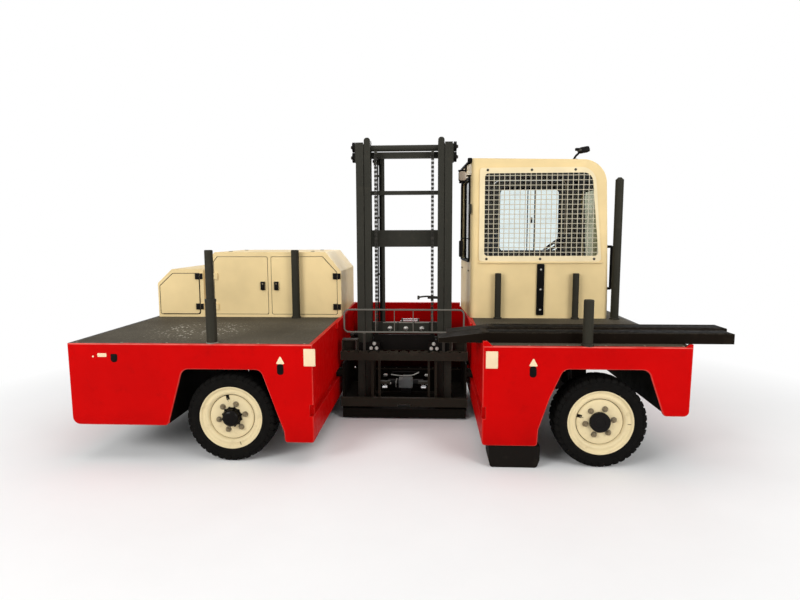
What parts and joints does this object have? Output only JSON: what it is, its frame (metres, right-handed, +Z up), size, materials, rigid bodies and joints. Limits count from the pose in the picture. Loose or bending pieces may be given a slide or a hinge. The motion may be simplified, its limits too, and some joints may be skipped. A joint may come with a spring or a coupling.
{
  "type": "electric sideloader",
  "caption": "Side-loading truck with low cargo decks, a driver's cab, and a lifting and tilting mast that slides out across a centre well.",
  "frame": {"origin": "centre of the footprint on the ground", "axes": "+X along the truck from the battery end to the cab end, +Y from the loading side to the far side, +Z up"},
  "size_m": [5.08, 2.353, 2.6399],
  "materials": {
    "red_paint": "gloss paint, worn",
    "deck_steel": "worn dark deck paint",
    "cream_paint": "gloss paint",
    "mast_paint": "dark olive-grey paint",
    "stake_paint": "dark olive-grey paint",
    "rim_paint": "cream paint",
    "tyre_rubber": "black rubber",
    "dark_iron": "black oily iron",
    "sleeve_steel": "dark brown steel",
    "cab_glass": "clear glass",
    "wire_grey": "worn grey rod",
    "rod_chrome": "polished",
    "chain_steel": "oiled steel",
    "seat_vinyl": "black vinyl",
    "black_plastic": "matt",
    "grey_paint": "grey paint",
    "battery_case": "dark steel case"
  },
  "bodies": {
    "chassis": {"frame_left": "red_paint", "frame_right": "red_paint", "frame_rear": "red_paint", "deck_left": "deck_steel", "deck_right": "deck_steel", "drive_axle": "dark_iron", "steer_axle": "dark_iron", "service_door": "cream_paint", "cabinet_main": "cream_paint", "battery": "battery_case", "cabinet_small": "cream_paint", "cab_shell": "cream_paint", "cab_glass": "cab_glass", "cab_guard": "cream_paint", "seat_base": "black_plastic", "seat_cushion": "seat_vinyl", "steering_column": "black_plastic", "cab_fittings": "black_plastic", "stakes_left": "stake_paint", "stake_right": "stake_paint", "cab_stakes": "stake_paint", "sleeve_near": "sleeve_steel", "sleeve_far": "sleeve_steel", "skirt_plates": "black_plastic"},
    "door_of_cab": {"cab_door": "cream_paint", "door_glass": "cab_glass"},
    "door_of_battery": {"battery_door": "cream_paint"},
    "door_of_locker": {"locker_door": "cream_paint"},
    "mast_trolley": {"trolley": "mast_paint", "traverse_motor": "grey_paint"},
    "mast_outer": {"mast_rail_left": "mast_paint", "mast_rail_right": "mast_paint", "mast_ties": "mast_paint", "lift_barrels": "mast_paint"},
    "mast_inner": {"inner_rail_left": "mast_paint", "inner_rail_right": "mast_paint", "inner_head": "mast_paint", "lift_rods": "rod_chrome", "lift_chains": "chain_steel"},
    "carriage": {"carriage_frame": "mast_paint", "fork_bar_upper": "mast_paint", "fork_bar_lower": "mast_paint", "load_backrest": "wire_grey"},
    "tilt_cylinder_left": {"tilt_barrel_left": "mast_paint"},
    "tilt_piston_left": {"tilt_rod_left": "rod_chrome"},
    "tilt_cylinder_right": {"tilt_barrel_right": "mast_paint"},
    "tilt_piston_right": {"tilt_rod_right": "rod_chrome"},
    "hub_near": {"knuckle_near": "dark_iron"},
    "hub_far": {"knuckle_far": "dark_iron"},
    "stabiliser_foot": {"stabiliser": "dark_iron"},
    "wheel_left_near": {"tyre_left_near": "tyre_rubber", "rim_left_near": "rim_paint"},
    "wheel_left_far": {"tyre_left_far": "tyre_rubber", "rim_left_far": "rim_paint"},
    "wheel_right_near": {"tyre_right_near": "tyre_rubber", "rim_right_near": "rim_paint"},
    "wheel_right_far": {"tyre_right_far": "tyre_rubber", "rim_right_far": "rim_paint"}
  },
  "joints": [
    {"name": "mast_traverse", "type": "slide", "parent": "chassis", "child": "mast_trolley", "axis": [0, -1, 0], "range_m": [0, 0.5]},
    {"name": "mast_tilt", "type": "hinge", "parent": "mast_trolley", "child": "mast_outer", "pos_m": [0, 0.15, 0.11], "axis": [1, 0, 0], "range_deg": [-5, 3]},
    {"name": "tilt_barrel_turn_left", "type": "hinge", "parent": "mast_trolley", "child": "tilt_cylinder_left", "pos_m": [-0.52, 0.7, 0.43], "axis": [1, 0, 0], "range_deg": [-3, 2]},
    {"name": "tilt_rod_slide_left", "type": "slide", "parent": "tilt_cylinder_left", "child": "tilt_piston_left", "axis": [0, -0.8268, 0.5625], "range_m": [-0.052, 0.032]},
    {"name": "tilt_barrel_turn_right", "type": "hinge", "parent": "mast_trolley", "child": "tilt_cylinder_right", "pos_m": [0.52, 0.7, 0.43], "axis": [1, 0, 0], "range_deg": [-3, 2]},
    {"name": "tilt_rod_slide_right", "type": "slide", "parent": "tilt_cylinder_right", "child": "tilt_piston_right", "axis": [0, -0.8268, 0.5625], "range_m": [-0.052, 0.032]},
    {"name": "mast_lift", "type": "slide", "parent": "mast_outer", "child": "mast_inner", "axis": [0, 0, 1], "range_m": [0, 1.5]},
    {"name": "carriage_lift", "type": "slide", "parent": "mast_inner", "child": "carriage", "axis": [0, 0, 1], "range_m": [0, 1.5], "deforming": ["lift_chains"]},
    {"name": "cab_door_hinge", "type": "hinge", "parent": "chassis", "child": "door_of_cab", "pos_m": [1.73, 1.157, 1.18], "axis": [0, 0, -1], "range_deg": [0, 80]},
    {"name": "battery_door_hinge", "type": "hinge", "parent": "chassis", "child": "door_of_battery", "pos_m": [-1.906, 0.242, 1.24], "axis": [0, 0, -1], "range_deg": [0, 90]},
    {"name": "locker_door_hinge", "type": "hinge", "parent": "chassis", "child": "door_of_locker", "pos_m": [-2.063, 0.242, 1.2], "axis": [0, 0, 1], "range_deg": [0, 90]},
    {"name": "steer_near", "type": "hinge", "parent": "chassis", "child": "hub_near", "pos_m": [1.516, -0.84, 0.345], "axis": [0, 0, 1], "range_deg": [-30, 30]},
    {"name": "steer_far", "type": "hinge", "parent": "chassis", "child": "hub_far", "pos_m": [1.516, 0.84, 0.345], "axis": [0, 0, 1], "range_deg": [-30, 30]},
    {"name": "spin_left_near", "type": "hinge", "parent": "chassis", "child": "wheel_left_near", "pos_m": [-1.285, -1.025, 0.345], "axis": [0, 1, 0], "continuous": true},
    {"name": "spin_left_far", "type": "hinge", "parent": "chassis", "child": "wheel_left_far", "pos_m": [-1.285, 1.025, 0.345], "axis": [0, 1, 0], "continuous": true},
    {"name": "spin_right_near", "type": "hinge", "parent": "hub_near", "child": "wheel_right_near", "pos_m": [1.516, -1.025, 0.345], "axis": [0, 1, 0], "continuous": true},
    {"name": "spin_right_far", "type": "hinge", "parent": "hub_far", "child": "wheel_right_far", "pos_m": [1.516, 1.025, 0.345], "axis": [0, 1, 0], "continuous": true},
    {"name": "stabiliser_lift", "type": "slide", "parent": "chassis", "child": "stabiliser_foot", "axis": [0, 0, 1], "range_m": [0, 0.15]}
  ],
  "couplings": [
    {"joint": "tilt_barrel_turn_left", "follows": "mast_tilt", "ratio": 0.5317},
    {"joint": "tilt_rod_slide_left", "follows": "mast_tilt", "m_per_rad": 0.574},
    {"joint": "tilt_barrel_turn_right", "follows": "mast_tilt", "ratio": 0.5317},
    {"joint": "tilt_rod_slide_right", "follows": "mast_tilt", "m_per_rad": 0.574},
    {"joint": "carriage_lift", "follows": "mast_lift", "ratio": 1},
    {"joint": "steer_far", "follows": "steer_near", "ratio": 1}
  ]
}
